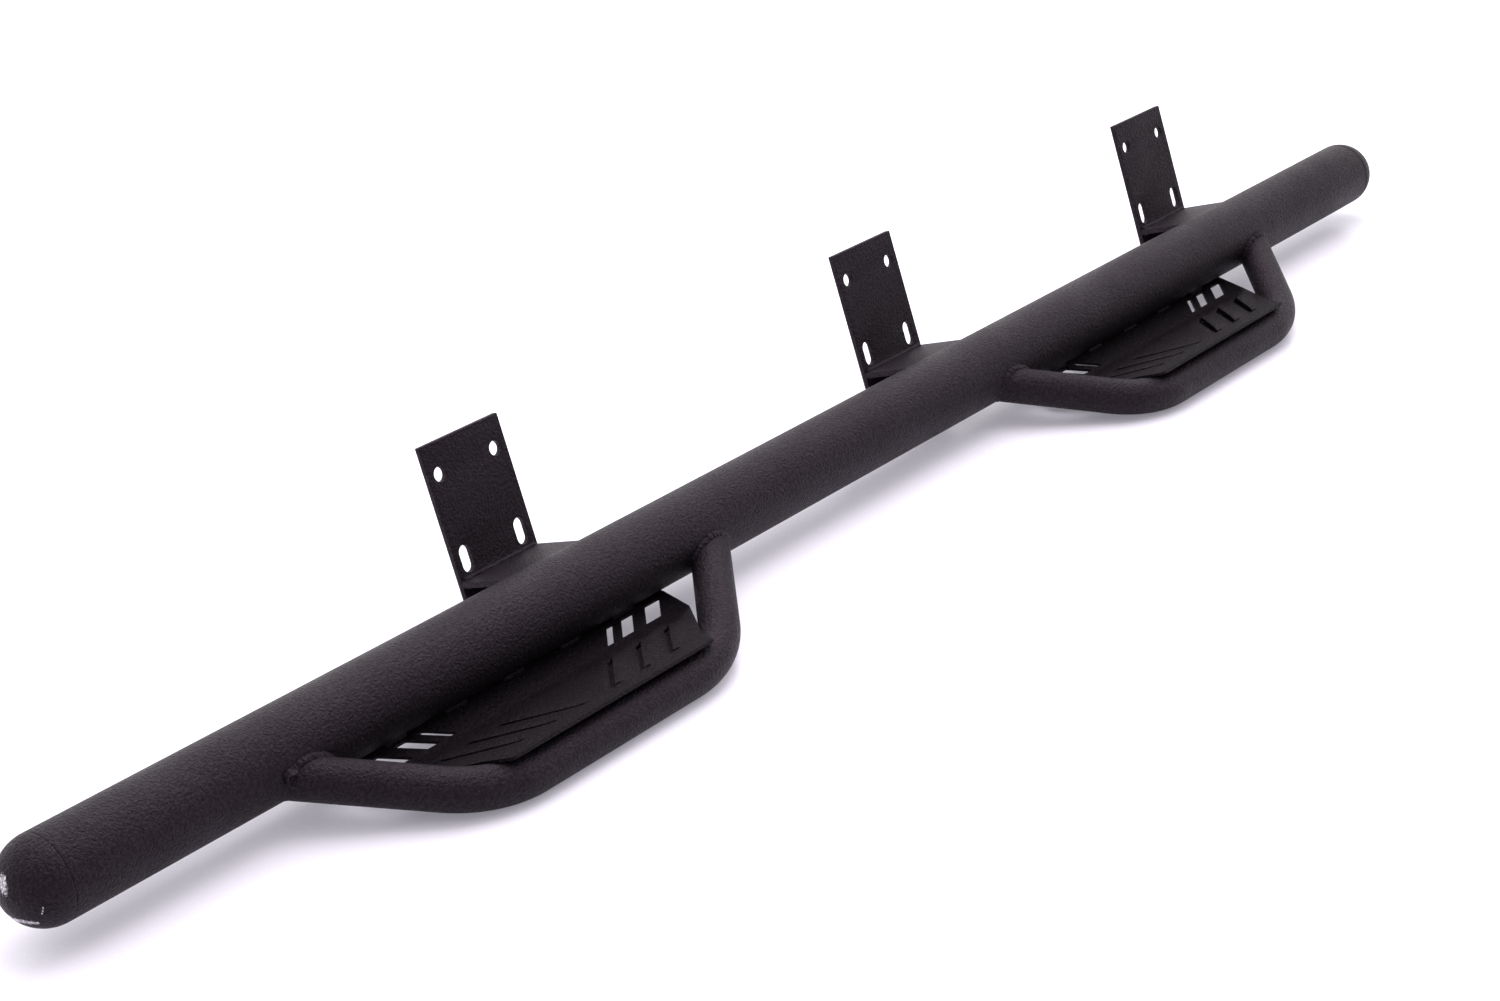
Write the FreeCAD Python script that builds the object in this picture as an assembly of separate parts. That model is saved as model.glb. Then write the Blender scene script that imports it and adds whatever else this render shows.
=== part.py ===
import FreeCAD, Part
import math
import os

# Running board for a truck: one long round tube, two bent step hoops with
# stamped step plates, and three stand-off brackets that bolt to the vehicle.
# Everything is laid out about the main tube's own axis, in mm,
# and moved at the end so that the origin is on the middle bracket's mounting
# face, midway between its two upper bolt holes.
# +X runs along the tube, +Y points at the vehicle, +Z is up.

# main tube and its domed ends
TUBE_R = 38.1
TUBE_WALL = 2.0
TUBE_LEFT = -973.0
TUBE_RIGHT = 1043.0
CAP_WALL = 2.5
CAP_SPIGOT = 12.0
SPIGOT_CLEARANCE = 0.15

# step hoops: bent round tube, legs at 45 degrees in the hoop's own plane
HOOP_R = 19.05
HOOP_WALL = 2.0
HOOP_BEND_R = 114.0
HOOP_CENTRES = {"left": -487.6, "right": 518.0}
RUN_HALF = 144.3
RUN_Y = -118.0
RUN_Z = -85.0
ROOT_HALF = 288.7
ROOT_Z = -3.0
LEG_START_Y = -12.0

# step plates: a nearly level tread and a steeper flange up to the main tube
SHEET = 3.0
RUN_GAP = 3.0
BEND_Y = -37.0
BEND_Z = -54.2
TREAD_SLOPE = 4.0
FLANGE_SLOPE = 30.0
FLANGE_RUN = 44.0
PLATE_HALF = 200.5
SHOULDER_HALF = 140.0
SHOULDER_Y = -69.0
NOSE_HALF = 126.5
NOSE_Y = -95.0
LIP_DROP = 4.4
LIP_THICK = 2.2
NOSE_RADIUS = 5.0

# raised traction flaps on the tread, mirrored about the hoop's middle
FLAP_FEET = [20.5, 58.5, 97.0]
FLAP_FRONT = -72.5
FLAP_BACK = -14.0
FLAP_WIDTH = 25.0
FLAP_RISE = 4.2
SLIT_GAP = 3.0
END_GAP = 1.3

# drain slots through the flange: start, width along X at their lower edge
FLANGE_SLOTS = [(95.4, 8.2), (115.5, 15.4), (147.9, 20.5)]
SLOT_LOW = 6.4
SLOT_HIGH = 27.0

# brackets
BRACKET_X = {"left": -372.0, "middle": 240.0, "right": 792.0}
PLATE_W = 101.6
PLATE_T = 6.0
PLATE_FRONT_Y = 100.0
PLATE_TOP = 157.0
PLATE_BOTTOM = -19.8
HOLE_R = 7.0
HOLE_DX = 36.0
HOLE_Z = 127.0
SLOT_Z = 45.0
SLOT_LENGTH = 26.0
ARM_TOP = 27.0
ARM_T = 6.0
GUSSET_T = 6.0

# weld beads
WELD_R = 4.2
SEAM_R = 3.4
STITCH = 28.0

# vent hole beside the left hoop's left leg, closed by a small plug weld
PLUG_X = -758.6
PLUG_ANGLE = -108.2
PLUG_R = 6.5
PLUG_H = 4.8


def vec(x, y, z):
    return FreeCAD.Vector(x, y, z)


def along_x(radius, x0, x1, y=0.0, z=0.0):
    """Round bar along X."""
    return Part.makeCylinder(radius, x1 - x0, vec(x0, y, z), vec(1, 0, 0))


def prism(points, drop):
    """Solid made by pushing a flat polygon along a vector."""
    wire = Part.makePolygon(points + [points[0]])
    return Part.Face(wire).extrude(drop)


def main_tube():
    """The long straight carrying tube."""
    outer = along_x(TUBE_R, TUBE_LEFT, TUBE_RIGHT)
    inner = along_x(TUBE_R - TUBE_WALL, TUBE_LEFT - 1, TUBE_RIGHT + 1)
    return outer.cut(inner)


def end_cap(side):
    """Hemispherical cap welded on the tube's end, with a short spigot inside it."""
    outer = Part.makeSphere(TUBE_R, vec(0, 0, 0), vec(0, 0, 1), 0, 90, 360)
    inner = Part.makeSphere(TUBE_R - CAP_WALL, vec(0, 0, 0), vec(0, 0, 1), 0, 90, 360)
    spigot_r = TUBE_R - TUBE_WALL - SPIGOT_CLEARANCE
    spigot = Part.makeCylinder(spigot_r, CAP_SPIGOT + 2, vec(0, 0, -CAP_SPIGOT))
    bore = Part.makeCylinder(spigot_r - CAP_WALL, CAP_SPIGOT + 4, vec(0, 0, -CAP_SPIGOT - 1))
    cap = outer.cut(inner).fuse(spigot.cut(bore)).removeSplitter()
    cap.rotate(vec(0, 0, 0), vec(0, 1, 0), side * 90)
    cap.translate(vec(TUBE_LEFT if side < 0 else TUBE_RIGHT, 0, 0))
    return cap


def hoop_corners(centre):
    """Ends and corners of a hoop's centre line, left to right."""
    t = LEG_START_Y / RUN_Y
    start_half = ROOT_HALF + (RUN_HALF - ROOT_HALF) * t
    start_z = ROOT_Z + (RUN_Z - ROOT_Z) * t
    return [
        vec(centre - start_half, LEG_START_Y, start_z),
        vec(centre - RUN_HALF, RUN_Y, RUN_Z),
        vec(centre + RUN_HALF, RUN_Y, RUN_Z),
        vec(centre + start_half, LEG_START_Y, start_z),
    ]


def hoop_path(centre):
    """Centre line of a hoop: leg, bend, run, bend, leg."""
    p = hoop_corners(centre)
    edges = []
    last = p[0]
    for i in (1, 2):
        a = (p[i] - p[i - 1]).normalize()
        b = (p[i + 1] - p[i]).normalize()
        turn = a.getAngle(b)
        t = HOOP_BEND_R * math.tan(turn / 2)
        t1 = p[i] - a * t
        t2 = p[i] + b * t
        inward = (b - a).normalize()
        mid = p[i] + inward * (HOOP_BEND_R / math.cos(turn / 2) - HOOP_BEND_R)
        edges.append(Part.makeLine(last, t1))
        edges.append(Part.Arc(t1, mid, t2).toShape())
        last = t2
    edges.append(Part.makeLine(last, p[3]))
    return Part.Wire(edges)


def swept_round(path, radius):
    """Round bar along a path."""
    start = path.Edges[0].valueAt(path.Edges[0].FirstParameter)
    way = path.Edges[0].tangentAt(path.Edges[0].FirstParameter)
    ring = Part.Wire([Part.makeCircle(radius, start, way)])
    return path.makePipeShell([ring], True, False)


def hoop_bar(centre):
    """Outside of a hoop, as a solid bar that runs into the main tube."""
    return swept_round(hoop_path(centre), HOOP_R)


def step_hoop(centre, bar):
    """Bent hoop tube, its two ends coped to the main tube."""
    core = swept_round(hoop_path(centre), HOOP_R - HOOP_WALL)
    tube = bar.cut(core)
    return tube.cut(along_x(TUBE_R, centre - 450, centre + 450))


def flap_corners(foot, side):
    """Corners of one flap in the tread's own plane, slit edge first."""
    reach = FLAP_BACK - FLAP_FRONT
    front_in = foot
    back_in = foot + reach
    return [
        (side * front_in, FLAP_FRONT),
        (side * back_in, FLAP_BACK),
        (side * (back_in + FLAP_WIDTH), FLAP_BACK),
        (side * (front_in + FLAP_WIDTH), FLAP_FRONT),
    ]


def flap_window(foot, side):
    """Opening sheared in the tread around one flap."""
    corners = flap_corners(foot - SLIT_GAP, side)
    hinge = flap_corners(foot, side)
    pts = [
        vec(corners[0][0] - side * END_GAP, corners[0][1] - END_GAP, 1),
        vec(corners[1][0] + side * END_GAP, corners[1][1] + END_GAP, 1),
        vec(hinge[2][0] + side * END_GAP, hinge[2][1] + END_GAP, 1),
        vec(hinge[3][0] - side * END_GAP, hinge[3][1] - END_GAP, 1),
    ]
    return prism(pts, vec(0, 0, -SHEET - 2))


def flap(foot, side):
    """Flap of sheet, hinged on its outer side and raised at the slit."""
    c = flap_corners(foot, side)
    pts = [
        vec(c[0][0], c[0][1], FLAP_RISE),
        vec(c[1][0], c[1][1], FLAP_RISE),
        vec(c[2][0], c[2][1], 0),
        vec(c[3][0], c[3][1], 0),
    ]
    return prism(pts, vec(0, 0, -SHEET))


def tread():
    """Nearly level part of the step plate, in its own flat plane."""
    outline = [
        vec(-PLATE_HALF, 0, 0),
        vec(-SHOULDER_HALF, SHOULDER_Y, 0),
        vec(-NOSE_HALF, NOSE_Y, 0),
        vec(NOSE_HALF, NOSE_Y, 0),
        vec(SHOULDER_HALF, SHOULDER_Y, 0),
        vec(PLATE_HALF, 0, 0),
    ]
    sheet = prism(outline, vec(0, 0, -SHEET))
    lip_length = 2 * NOSE_HALF - 2 * NOSE_RADIUS
    lip = Part.makeBox(lip_length, LIP_THICK, LIP_DROP,
                       vec(-lip_length / 2, NOSE_Y, -LIP_DROP))
    sheet = sheet.fuse(lip)
    for side in (-1, 1):
        for foot in FLAP_FEET:
            sheet = sheet.cut(flap_window(foot, side))
            sheet = sheet.fuse(flap(foot, side))
    return sheet


def flange():
    """Flange that rises from the tread's bend to the main tube."""
    sheet = Part.makeBox(2 * PLATE_HALF, FLANGE_RUN, SHEET, vec(-PLATE_HALF, 0, -SHEET))
    rise = SLOT_HIGH - SLOT_LOW
    for side in (-1, 1):
        for start, width in FLANGE_SLOTS:
            pts = [
                vec(side * start, SLOT_LOW, 1),
                vec(side * (start + width), SLOT_LOW, 1),
                vec(side * (start + width + rise), SLOT_HIGH, 1),
                vec(side * (start + rise), SLOT_HIGH, 1),
            ]
            sheet = sheet.cut(prism(pts, vec(0, 0, -SHEET - 2)))
    return sheet


def place_sheet(sheet, slope, centre):
    """Tilt a flat sheet about the bend line and set it in its hoop."""
    sheet.rotate(vec(0, 0, 0), vec(1, 0, 0), slope)
    sheet.translate(vec(centre, BEND_Y, BEND_Z))
    return sheet


def bend_filler(centre):
    """Outside of the bend between the tread and the flange."""
    bar = along_x(SHEET, centre - PLATE_HALF, centre + PLATE_HALF, BEND_Y, BEND_Z)
    low = math.radians(TREAD_SLOPE)
    high = math.radians(FLANGE_SLOPE)
    reach = SHEET * 2
    x0 = centre - PLATE_HALF
    wedge = [
        vec(x0, BEND_Y, BEND_Z),
        vec(x0, BEND_Y + reach * math.sin(low), BEND_Z - reach * math.cos(low)),
        vec(x0, BEND_Y + reach * math.sin(high), BEND_Z - reach * math.cos(high)),
    ]
    return bar.common(prism(wedge, vec(2 * PLATE_HALF, 0, 0)))


def step_plate(centre, bar):
    """Stamped step plate, trimmed to the hoop and to the main tube."""
    plate = place_sheet(tread(), TREAD_SLOPE, centre)
    plate = plate.fuse(place_sheet(flange(), FLANGE_SLOPE, centre))
    plate = plate.fuse(bend_filler(centre))
    plate = plate.cut(along_x(TUBE_R, centre - 300, centre + 300))
    plate = plate.cut(bar)
    plate = plate.removeSplitter()
    return max(plate.Solids, key=lambda s: s.Volume)


def mount_plate(x):
    """Upright plate that bolts to the vehicle: two holes over two slots."""
    half = PLATE_W / 2
    plate = Part.makeBox(PLATE_W, PLATE_T, PLATE_TOP - PLATE_BOTTOM,
                         vec(x - half, PLATE_FRONT_Y, PLATE_BOTTOM))
    for side in (-1, 1):
        cx = x + side * HOLE_DX
        y0 = PLATE_FRONT_Y - 1
        plate = plate.cut(Part.makeCylinder(HOLE_R, PLATE_T + 2, vec(cx, y0, HOLE_Z), vec(0, 1, 0)))
        straight = SLOT_LENGTH / 2 - HOLE_R
        slot = Part.makeBox(2 * HOLE_R, PLATE_T + 2, 2 * straight,
                            vec(cx - HOLE_R, y0, SLOT_Z - straight))
        for end in (-1, 1):
            z = SLOT_Z + end * straight
            slot = slot.fuse(Part.makeCylinder(HOLE_R, PLATE_T + 2, vec(cx, y0, z), vec(0, 1, 0)))
        plate = plate.cut(slot.removeSplitter())
    return plate


def mount_arm(x):
    """Level arm from the top rear of the main tube to the mounting plate."""
    arm = Part.makeBox(PLATE_W, PLATE_FRONT_Y, ARM_T,
                       vec(x - PLATE_W / 2, 0, ARM_TOP - ARM_T))
    return arm.cut(along_x(TUBE_R, x - 100, x + 100))


def mount_gusset(x):
    """Upright web under the arm, between the tube and the plate."""
    x0 = x - GUSSET_T / 2
    under = ARM_TOP - ARM_T
    pts = [
        vec(x0, 10, under),
        vec(x0, PLATE_FRONT_Y, under),
        vec(x0, PLATE_FRONT_Y, PLATE_BOTTOM + 6),
        vec(x0, 20, PLATE_BOTTOM - 10),
    ]
    web = prism(pts, vec(GUSSET_T, 0, 0))
    return web.cut(along_x(TUBE_R, x - 50, x + 50))


def leg_weld(centre, side, bar):
    """Bead around the joint of a hoop leg and the main tube."""
    p = hoop_corners(centre)
    root = p[0] if side < 0 else p[3]
    corner = p[1] if side < 0 else p[2]
    way = (corner - root).normalize()
    around_leg = Part.makeCylinder(HOOP_R + WELD_R, 90, root - way * 20, way)
    around_tube = along_x(TUBE_R + WELD_R, centre - 400, centre + 400)
    bead = around_leg.common(around_tube)
    bead = bead.cut(along_x(TUBE_R, centre - 450, centre + 450))
    bead = bead.cut(bar)
    return max(bead.Solids, key=lambda s: s.Volume)


def arm_weld(x):
    """Beads where an arm meets the main tube, above and below."""
    half = PLATE_W / 2 - 3
    beads = []
    arm = mount_arm(x)
    gusset = mount_gusset(x)
    for z in (ARM_TOP, ARM_TOP - ARM_T):
        y = math.sqrt(TUBE_R ** 2 - z ** 2)
        bead = along_x(SEAM_R, x - half, x + half, y, z)
        bead = bead.cut(along_x(TUBE_R, x - 100, x + 100)).cut(arm).cut(gusset)
        beads.extend(bead.Solids)
    return Part.makeCompound(beads)


def plate_weld(x):
    """Beads where an arm meets its mounting plate, above and below."""
    half = PLATE_W / 2 - 4
    beads = []
    gusset = mount_gusset(x)
    for z in (ARM_TOP, ARM_TOP - ARM_T):
        bead = along_x(SEAM_R, x - half, x + half, PLATE_FRONT_Y, z)
        bead = bead.cut(mount_arm(x)).cut(mount_plate(x)).cut(gusset)
        beads.extend(bead.Solids)
    return Part.makeCompound(beads)


def step_plate_weld(centre, plate, bar):
    """Stitch beads that hold a step plate to the main tube and the run."""
    a = math.radians(FLANGE_SLOPE)
    t = 0.0
    while True:
        y = BEND_Y + t * math.cos(a)
        z = BEND_Z + t * math.sin(a)
        if y * y + z * z <= TUBE_R * TUBE_R:
            break
        t += 0.1
    beads = []
    main = along_x(TUBE_R, centre - 300, centre + 300)
    for k in (-2, -1, 0, 1, 2):
        x = centre + k * 72.0
        bead = along_x(SEAM_R, x - STITCH / 2, x + STITCH / 2, y, z)
        beads.extend(bead.cut(main).cut(plate).Solids)
    low = math.radians(TREAD_SLOPE)
    reach = HOOP_R + RUN_GAP / 2
    gap_y = RUN_Y - reach * math.sin(low) + 5
    gap_z = RUN_Z + reach * math.cos(low)
    for k in (-1, 0, 1):
        x = centre + k * 78.0
        bead = along_x(SEAM_R, x - STITCH / 2, x + STITCH / 2, gap_y, gap_z)
        beads.extend(bead.cut(bar).cut(plate).Solids)
    return Part.makeCompound([b for b in beads if b.Volume > 5])


def vent_plug(bead, bar):
    """Small plug weld closing the main tube's vent hole, over the leg's bead."""
    base = vec(0, 0, 0)
    disc = Part.makeSphere(11.0, base)
    disc.translate(vec(0, 0, TUBE_R - 11.0 + PLUG_H))
    column = Part.makeCylinder(PLUG_R, TUBE_R + 5)
    plug = disc.common(column)
    plug = plug.cut(along_x(TUBE_R, -30, 30))
    plug.rotate(base, vec(1, 0, 0), -PLUG_ANGLE)
    plug.translate(vec(PLUG_X, 0, 0))
    plug = plug.cut(bead).cut(bar)
    return max(plug.Solids, key=lambda s: s.Volume)


def build():
    """Every piece by its node name."""
    parts = {"main_tube": main_tube()}
    parts["left_end_cap"] = end_cap(-1)
    parts["right_end_cap"] = end_cap(1)
    for name, centre in HOOP_CENTRES.items():
        bar = hoop_bar(centre)
        plate = step_plate(centre, bar)
        parts[name + "_step_hoop"] = step_hoop(centre, bar)
        parts[name + "_step_plate"] = plate
        parts[name + "_hoop_weld_left"] = leg_weld(centre, -1, bar)
        parts[name + "_hoop_weld_right"] = leg_weld(centre, 1, bar)
        parts[name + "_step_plate_welds"] = step_plate_weld(centre, plate, bar)
    for name, x in BRACKET_X.items():
        parts[name + "_mount_plate"] = mount_plate(x)
        parts[name + "_mount_arm"] = mount_arm(x)
        parts[name + "_mount_gusset"] = mount_gusset(x)
        parts[name + "_arm_to_tube_weld"] = arm_weld(x)
        parts[name + "_arm_to_plate_weld"] = plate_weld(x)
    bead = parts["left_hoop_weld_left"]
    parts["vent_plug_weld"] = vent_plug(bead, hoop_bar(HOOP_CENTRES["left"]))
    return parts


def main():
    os.makedirs("parts", exist_ok=True)
    shift = vec(-BRACKET_X["middle"], -(PLATE_FRONT_Y + PLATE_T), -HOLE_Z)
    for name, shape in build().items():
        shape.translate(shift)
        shape.exportStep("parts/" + name + ".step")
        print(name, len(shape.Solids), round(shape.Volume), shape.isValid())


main()
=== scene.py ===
import math
import bmesh
import bpy
from mathutils import Matrix, Vector
from mathutils.geometry import delaunay_2d_cdt


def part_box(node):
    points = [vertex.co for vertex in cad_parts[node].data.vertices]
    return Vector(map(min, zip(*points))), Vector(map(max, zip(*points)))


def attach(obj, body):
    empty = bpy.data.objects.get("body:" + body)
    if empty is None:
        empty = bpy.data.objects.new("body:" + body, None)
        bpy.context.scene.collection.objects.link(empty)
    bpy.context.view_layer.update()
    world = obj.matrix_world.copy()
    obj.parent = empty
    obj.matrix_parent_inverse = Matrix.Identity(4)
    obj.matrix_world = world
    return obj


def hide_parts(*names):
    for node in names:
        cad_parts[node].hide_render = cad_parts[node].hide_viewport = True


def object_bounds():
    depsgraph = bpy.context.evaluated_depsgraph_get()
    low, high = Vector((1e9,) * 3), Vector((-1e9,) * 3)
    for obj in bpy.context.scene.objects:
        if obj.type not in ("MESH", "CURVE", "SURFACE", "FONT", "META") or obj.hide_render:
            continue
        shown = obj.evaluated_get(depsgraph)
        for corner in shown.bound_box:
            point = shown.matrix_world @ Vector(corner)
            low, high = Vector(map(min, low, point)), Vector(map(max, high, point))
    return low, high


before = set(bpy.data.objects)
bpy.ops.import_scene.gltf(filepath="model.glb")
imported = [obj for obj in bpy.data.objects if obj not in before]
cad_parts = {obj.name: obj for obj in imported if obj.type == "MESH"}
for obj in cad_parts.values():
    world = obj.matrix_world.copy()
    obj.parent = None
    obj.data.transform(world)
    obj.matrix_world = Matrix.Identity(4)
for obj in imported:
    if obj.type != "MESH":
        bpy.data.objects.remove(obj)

# Running board in metres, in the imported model's own frame: +X along the main
# tube, +Y towards the vehicle, +Z up. It lies on its hoops and bracket plates,
# so the floor is tilted against Z, and the camera rolls with the floor.
CAD_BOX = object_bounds()
MM = 0.001
X_AXIS = Vector((1.0, 0.0, 0.0))
FLOOR_UP = Vector((0.0, -0.356, 0.934)).normalized()
FLOOR_LEFT, FLOOR_WIDTH = -2.6, 5.2
FLOOR_FRONT, FLOOR_DEPTH = -1.9, 2.35
CAMERA_AT = Vector((-2.2326, -1.9352, 0.4344))
CAMERA_WAY = Vector((0.69636, 0.68557, -0.21232)).normalized()
CAMERA_LENS = 66.56

TUBE_LO, TUBE_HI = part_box("main_tube")
TUBE_R = (TUBE_HI[1] - TUBE_LO[1]) / 2
AXIS_Y = (TUBE_HI[1] + TUBE_LO[1]) / 2
AXIS_Z = (TUBE_HI[2] + TUBE_LO[2]) / 2
AXIS = Vector((0.0, AXIS_Y, AXIS_Z))
SEAM_DEPTH = 0.7 * MM
SEAM_WIDTH = 1.6 * MM

# hoops, measured from the main tube's axis; the legs start inside the tube
HOOP_R = 19.05 * MM
HOOP_BEND_R = 114.0 * MM
RUN_HALF = 144.3 * MM
RUN_Y = -118.0 * MM
RUN_Z = -85.0 * MM
ROOT_HALF = 288.7 * MM
ROOT_Z = -3.0 * MM
LEG_START_Y = -12.0 * MM

# weld beads: the length of one scale, how far its crown lags its toes, and radii
BEAD_PITCH = 2.6 * MM
BEAD_LAG = 2.1 * MM
LEG_BEAD_R = 3.5 * MM
PLATE_BEAD_R = 2.9 * MM
STITCH_R = 3.0 * MM
STITCH_HALF = 14.0 * MM

# bracket plates: holes measured from midway between the upper two, and how far
# the coating rounds an edge
HOLE_R = 7.0 * MM
HOLE_X = 36.0 * MM
LONG_HOLE_DROP = 82.0 * MM
LONG_HOLE = 26.0 * MM
COATED_RIM = 0.6 * MM

# step plates: the bend line from the main tube's axis, then places across and
# along the flat sheet from the middle of the bend line
BEND_Y = -37.0 * MM
BEND_Z = -54.2 * MM
BEND_HALF = 4.0 * MM
TREAD_SLOPE = math.radians(3.3)
FLANGE_SLOPE = math.radians(30.0)
LIP_CREASE = math.radians(-4.0)
LIP_SLOPE = math.radians(-14.0)
LIP_START = -89.0 * MM
LIP_FOLD = 3.6 * MM
SHEET = 3.0 * MM
PLATE_HALF = 200.5 * MM
SHOULDER = (140.0 * MM, -69.0 * MM)
NOSE = (126.5 * MM, -95.5 * MM)
FLANGE_RUN = 34.5 * MM
FLAP_FEET = [20.5 * MM, 58.5 * MM, 97.0 * MM]
FLAP_FRONT = -72.5 * MM
FLAP_REACH = 58.5 * MM
FLAP_WIDTH = 25.0 * MM
LEFT_RISE = -0.9 * MM
RIGHT_RISE = 2.6 * MM
SLIT_GAP = 8.8 * MM
SLIT_PRESS = 0.8 * MM
FOOT_CUT = 8.0 * MM
FOOT_GAP = 1.0 * MM
# depths of the dark troughs under the slits, which are painted shade
TROUGH_DEEP = 5.0 * MM
TROUGH_EDGE = 2.8 * MM
FLANGE_SLOTS = [(95.4 * MM, 8.2 * MM), (115.5 * MM, 15.4 * MM), (147.9 * MM, 20.5 * MM)]
SLOT_LOW = 6.4 * MM
SLOT_HIGH = 27.0 * MM

# coating, and the bare spots of the left cap: each one's place in millimetres
# from the main tube's left end and axis, how much narrower it is along X, Y and
# Z, its radius, and the softness of its edge
COAT = (0.0058, 0.0047, 0.0059)
# the step plates carry the same black coat as the tube; their darker tint is painted shade on the treads
SHEET_COAT_WITH_PAINTED_SHADE = (0.0032, 0.0026, 0.0033)
PLATE_COAT = (0.0060, 0.0049, 0.0061)
WELD_COAT = (0.0066, 0.0054, 0.0067)
COAT_GLOSS_TINT = (1.0, 0.72, 0.97, 1.0)
CHIPS = (
    ((-37.5, -3.0, 14.0), (1.0, 1.0, 0.5), 5.0, 0.5),
    ((-33.0, 8.0, -17.5), (1.0, 0.9, 1.0), 3.4, 0.5),
    ((-32.6, 1.0, -19.5), (1.0, 0.8, 1.1), 3.3, 0.5),
    ((-31.8, -5.0, -20.5), (1.0, 0.8, 1.2), 3.1, 0.5),
    ((-29.3, -9.8, -22.5), (1.0, 0.8, 1.4), 2.9, 0.5),
    ((-26.5, -13.0, -24.3), (1.0, 1.0, 1.5), 2.6, 0.5),
    ((-24.6, -26.5, -12.2), (2.6, 1.0, 0.8), 1.0, 0.4),
    ((-24.9, -25.0, -14.5), (2.6, 1.0, 0.8), 1.1, 0.4),
    ((-25.3, -23.5, -16.6), (2.6, 1.0, 0.8), 0.9, 0.4),
)


# ---------------------------------------------------------------- materials

class Nodes:
    """Small helper for building one material's node tree."""

    def __init__(self, name):
        self.material = bpy.data.materials.new(name)
        self.material.use_nodes = True
        self.tree = self.material.node_tree
        self.tree.nodes.clear()
        self.out = self.add("ShaderNodeOutputMaterial")
        self.shader = self.add("ShaderNodeBsdfPrincipled")
        self.link(self.shader.outputs["BSDF"], self.out.inputs["Surface"])
        self.place = self.add("ShaderNodeTexCoord").outputs["Object"]

    def add(self, kind, **values):
        node = self.tree.nodes.new(kind)
        for key, value in values.items():
            setattr(node, key, value)
        return node

    def link(self, a, b):
        self.tree.links.new(a, b)

    def noise(self, scale, detail, rough):
        node = self.add("ShaderNodeTexNoise")
        node.inputs["Scale"].default_value = scale
        node.inputs["Detail"].default_value = detail
        node.inputs["Roughness"].default_value = rough
        self.link(self.place, node.inputs["Vector"])
        return node.outputs["Fac"]

    def cells(self, scale):
        node = self.add("ShaderNodeTexVoronoi", feature="SMOOTH_F1")
        node.inputs["Scale"].default_value = scale
        self.link(self.place, node.inputs["Vector"])
        return node.outputs["Distance"]

    def math(self, op, a, b):
        node = self.add("ShaderNodeMath", operation=op)
        for socket, value in zip(node.inputs, (a, b)):
            if isinstance(value, (int, float)):
                socket.default_value = value
            else:
                self.link(value, socket)
        return node.outputs[0]

    def span(self, value, low, high, to_low=0.0, to_high=1.0):
        node = self.add("ShaderNodeMapRange")
        node.interpolation_type = "SMOOTHSTEP"
        self.link(value, node.inputs["Value"])
        ends = (("From Min", low), ("From Max", high), ("To Min", to_low), ("To Max", to_high))
        for key, number in ends:
            node.inputs[key].default_value = number
        return node.outputs["Result"]

    def blend(self, fac, a, b):
        """Mix of two colours, each a tuple or a socket, by a factor that is a number or a socket."""
        node = self.add("ShaderNodeMix", data_type="RGBA")
        if isinstance(fac, float):
            node.inputs["Factor"].default_value = fac
        else:
            self.link(fac, node.inputs["Factor"])
        for socket, value in ((node.inputs[6], a), (node.inputs[7], b)):
            if isinstance(value, tuple):
                socket.default_value = (*value, 1.0)
            else:
                self.link(value, socket)
        return node.outputs[2]

    def bump(self, height, strength, distance, under=None):
        node = self.add("ShaderNodeBump")
        node.inputs["Strength"].default_value = strength
        node.inputs["Distance"].default_value = distance
        self.link(height, node.inputs["Height"])
        if under is not None:
            self.link(under, node.inputs["Normal"])
        return node.outputs["Normal"]

    def near(self, centre, scale, radius, soft):
        """1 inside an ellipsoid about a point and 0 outside, with an edge made ragged by noise."""
        shift = self.add("ShaderNodeVectorMath", operation="SUBTRACT")
        self.link(self.place, shift.inputs[0])
        shift.inputs[1].default_value = centre
        stretch = self.add("ShaderNodeVectorMath", operation="MULTIPLY")
        self.link(shift.outputs[0], stretch.inputs[0])
        stretch.inputs[1].default_value = scale
        size = self.add("ShaderNodeVectorMath", operation="LENGTH")
        self.link(stretch.outputs[0], size.inputs[0])
        ragged = self.math("MULTIPLY", self.noise(620.0, 4.0, 0.75), radius * 2.2)
        far = self.math("ADD", size.outputs["Value"], ragged)
        limit = radius * 2.1
        return self.span(far, limit - soft, limit + soft, 1.0, 0.0)


def times(colour, factor):
    """Colour made darker or paler."""
    return tuple(c * factor for c in colour)


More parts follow.
